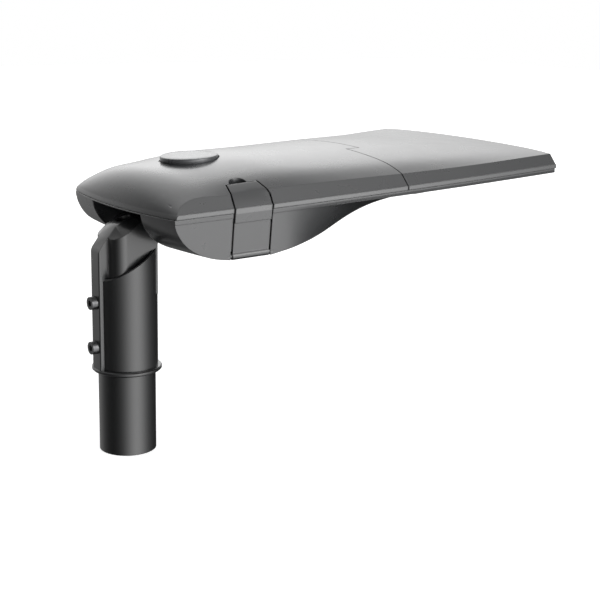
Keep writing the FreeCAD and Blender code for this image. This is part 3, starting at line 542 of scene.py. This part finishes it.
# Floor: a pale matt sheet just under the post's cut end, which brightens to white further out. It
# isn't seen in reflections, and it is clear from below.
floor_size, floor_drop, floor_grey = 6.0, 0.0005, 0.60
glow_starts, glow_full, glow_near, glow_far = 0.5, 2.6, 0.78, 1.0
floor_mesh = bmesh.new()
bmesh.ops.create_grid(floor_mesh, x_segments=1, y_segments=1, size=floor_size)
bmesh.ops.translate(floor_mesh, verts=floor_mesh.verts, vec=(0, 0, -floor_drop))
floor_data = bpy.data.meshes.new("studio_floor")
floor_mesh.to_mesh(floor_data)
floor_mesh.free()
floor = bpy.data.objects.new("studio_floor", floor_data)
bpy.context.scene.collection.objects.link(floor)
floor_look, tree, shader = material("pale floor", Roughness=0.9, Specular_IOR_Level=0.0)
shader.inputs["Base Color"].default_value = (floor_grey, floor_grey, floor_grey, 1)
ray = placed(tree, "LightPath")
away = vector_maths(tree, "LENGTH", placed(tree, "TexCoord").outputs["Object"])
brightness = ramp(tree, away, glow_starts, glow_full, glow_near, glow_far)
glow = maths(tree, "MULTIPLY", ray.outputs["Is Camera Ray"], brightness)
shader.inputs["Emission Color"].default_value = (1, 1, 1, 1)
tree.links.new(glow, shader.inputs["Emission Strength"])
either = placed(tree, "MixShader")
tree.links.new(placed(tree, "NewGeometry").outputs["Backfacing"], either.inputs["Fac"])
tree.links.new(shader.outputs["BSDF"], either.inputs[1])
tree.links.new(placed(tree, "BsdfTransparent").outputs["BSDF"], either.inputs[2])
tree.links.new(either.outputs["Shader"], tree.nodes["Material Output"].inputs["Surface"])
floor.data.materials.append(floor_look)
floor.visible_glossy = False


# Studio light: a white surround as the camera sees it. For the light on the object it is a set of
# soft-edged lobes, each aimed by its bearing and its height in degrees.
def lobe(tree, direction, bearing, height, tightness, strength):
    across, up = math.radians(bearing), math.radians(height)
    aim = Vector((math.cos(across) * math.cos(up), math.sin(across) * math.cos(up), math.sin(up)))
    near = vector_maths(tree, "DOT_PRODUCT", direction, aim)
    power = maths(tree, "MULTIPLY_ADD", near, tightness, -tightness)
    return maths(tree, "MULTIPLY", maths(tree, "EXPONENT", power), strength)


def studio_group():
    tree, _, out = group("studio light", [], [("Strength", "Float")])
    direction = placed(tree, "TexCoord").outputs["Object"]
    split = placed(tree, "SeparateXYZ")
    tree.links.new(direction, split.inputs[0])
    rise = split.outputs["Z"]
    level_way = vector_maths(
        tree, "NORMALIZE", vector_maths(tree, "MULTIPLY", direction, (1, 1, 0)))
    fades_up = ramp(tree, rise, low=-0.05, high=0.6, to_low=1.0, to_high=0.25)
    fades_down = ramp(tree, rise, low=-0.92, high=-0.62, to_low=0.05, to_high=1.0)
    near_wall = lobe(tree, level_way, bearing=-84.0, height=0.0, tightness=4.2, strength=3.2)
    near_wall = maths(tree, "MULTIPLY", near_wall, fades_up)
    near_wall = maths(tree, "MULTIPLY", near_wall, fades_down)
    far_high = lobe(tree, direction, bearing=76.0, height=44.0, tightness=3.5, strength=1.88)
    far_high = maths(tree, "MULTIPLY", far_high, ramp(tree, rise, low=-0.35, high=0.12))
    near_strip = lobe(tree, direction, bearing=-68.0, height=20.0, tightness=20.0, strength=5.6)
    near_high = lobe(tree, direction, bearing=-60.0, height=50.0, tightness=16.0, strength=1.5)
    far_strip = lobe(tree, direction, bearing=57.0, height=19.0, tightness=22.0, strength=0.85)
    far_low = lobe(tree, direction, bearing=112.0, height=-16.0, tightness=4.5, strength=0.42)
    total = near_wall
    for part in (far_high, near_strip, near_high, far_strip, far_low):
        total = maths(tree, "ADD", total, part)
    tree.links.new(total, out.inputs["Strength"])
    return tree


seen_strength, diffuse_share = 1.0, 0.55
world = bpy.data.worlds.new("studio")
bpy.context.scene.world = world
world.use_nodes = True
tree = world.node_tree
tree.nodes.clear()
ray = placed(tree, "LightPath")
seen = maths(tree, "MAXIMUM", ray.outputs["Is Camera Ray"], ray.outputs["Is Transmission Ray"])
softened = placed(tree, "MapRange")
tree.links.new(ray.outputs["Is Diffuse Ray"], softened.inputs["Value"])
softened.inputs["To Min"].default_value = 1.0
softened.inputs["To Max"].default_value = diffuse_share
studio = placed(tree, "Group", node_tree=studio_group())
cast = maths(tree, "MULTIPLY", studio.outputs["Strength"], softened.outputs["Result"])
strength = placed(tree, "Mix", data_type="FLOAT")
factor, unseen, plain_white = strength.inputs[0], strength.inputs[2], strength.inputs[3]
tree.links.new(seen, factor)
tree.links.new(cast, unseen)
plain_white.default_value = seen_strength
background = placed(tree, "Background")
background.inputs["Color"].default_value = (1, 1, 1, 1)
tree.links.new(strength.outputs[0], background.inputs["Strength"])
surround = placed(tree, "OutputWorld")
tree.links.new(background.outputs[0], surround.inputs["Surface"])

# Lamp: one softbox overhead, which gives the object its shadow on the floor. It doesn't show in
# reflections.
overhead = bpy.data.lights.new("softbox_above", "AREA")
overhead.shape = "RECTANGLE"
overhead.size = overhead.size_y = 1.2
overhead.energy = 4.0
lamp = bpy.data.objects.new("softbox_above", overhead)
bpy.context.scene.collection.objects.link(lamp)
lamp_place, lamp_aim = Vector((0.4, 1.2, 1.9)), Vector((0.15, 0.0, 0.24))
lamp_turn = (lamp_aim - lamp_place).to_track_quat("-Z", "Y").to_matrix().to_4x4()
lamp.matrix_world = Matrix.Translation(lamp_place) @ lamp_turn
lamp.visible_glossy = False

# Camera: the photograph's view, solved from the post's diameter and the head's outline. It looks
# down a little, and is rolled by about a degree.
camera_place = Vector((-0.603114, -1.104838, 0.476809))
down, across, rolled = math.radians(14.042), math.radians(36.90), math.radians(1.222)
forward = Vector((math.sin(across) * math.cos(down), math.cos(across) * math.cos(down),
                  -math.sin(down)))
right = Vector((math.cos(across), -math.sin(across), 0))
upward = right.cross(forward)
right_rolled = right * math.cos(rolled) + upward * math.sin(rolled)
up_rolled = upward * math.cos(rolled) - right * math.sin(rolled)
camera_data = bpy.data.cameras.new("camera")
camera_data.lens = 73.99
camera_data.sensor_width = 36.0
camera = bpy.data.objects.new("camera", camera_data)
bpy.context.scene.collection.objects.link(camera)
turn = Matrix((right_rolled, up_rolled, -forward)).transposed().to_4x4()
camera.matrix_world = Matrix.Translation(camera_place) @ turn
bpy.context.scene.camera = camera
bpy.context.scene.view_settings.view_transform = "Standard"
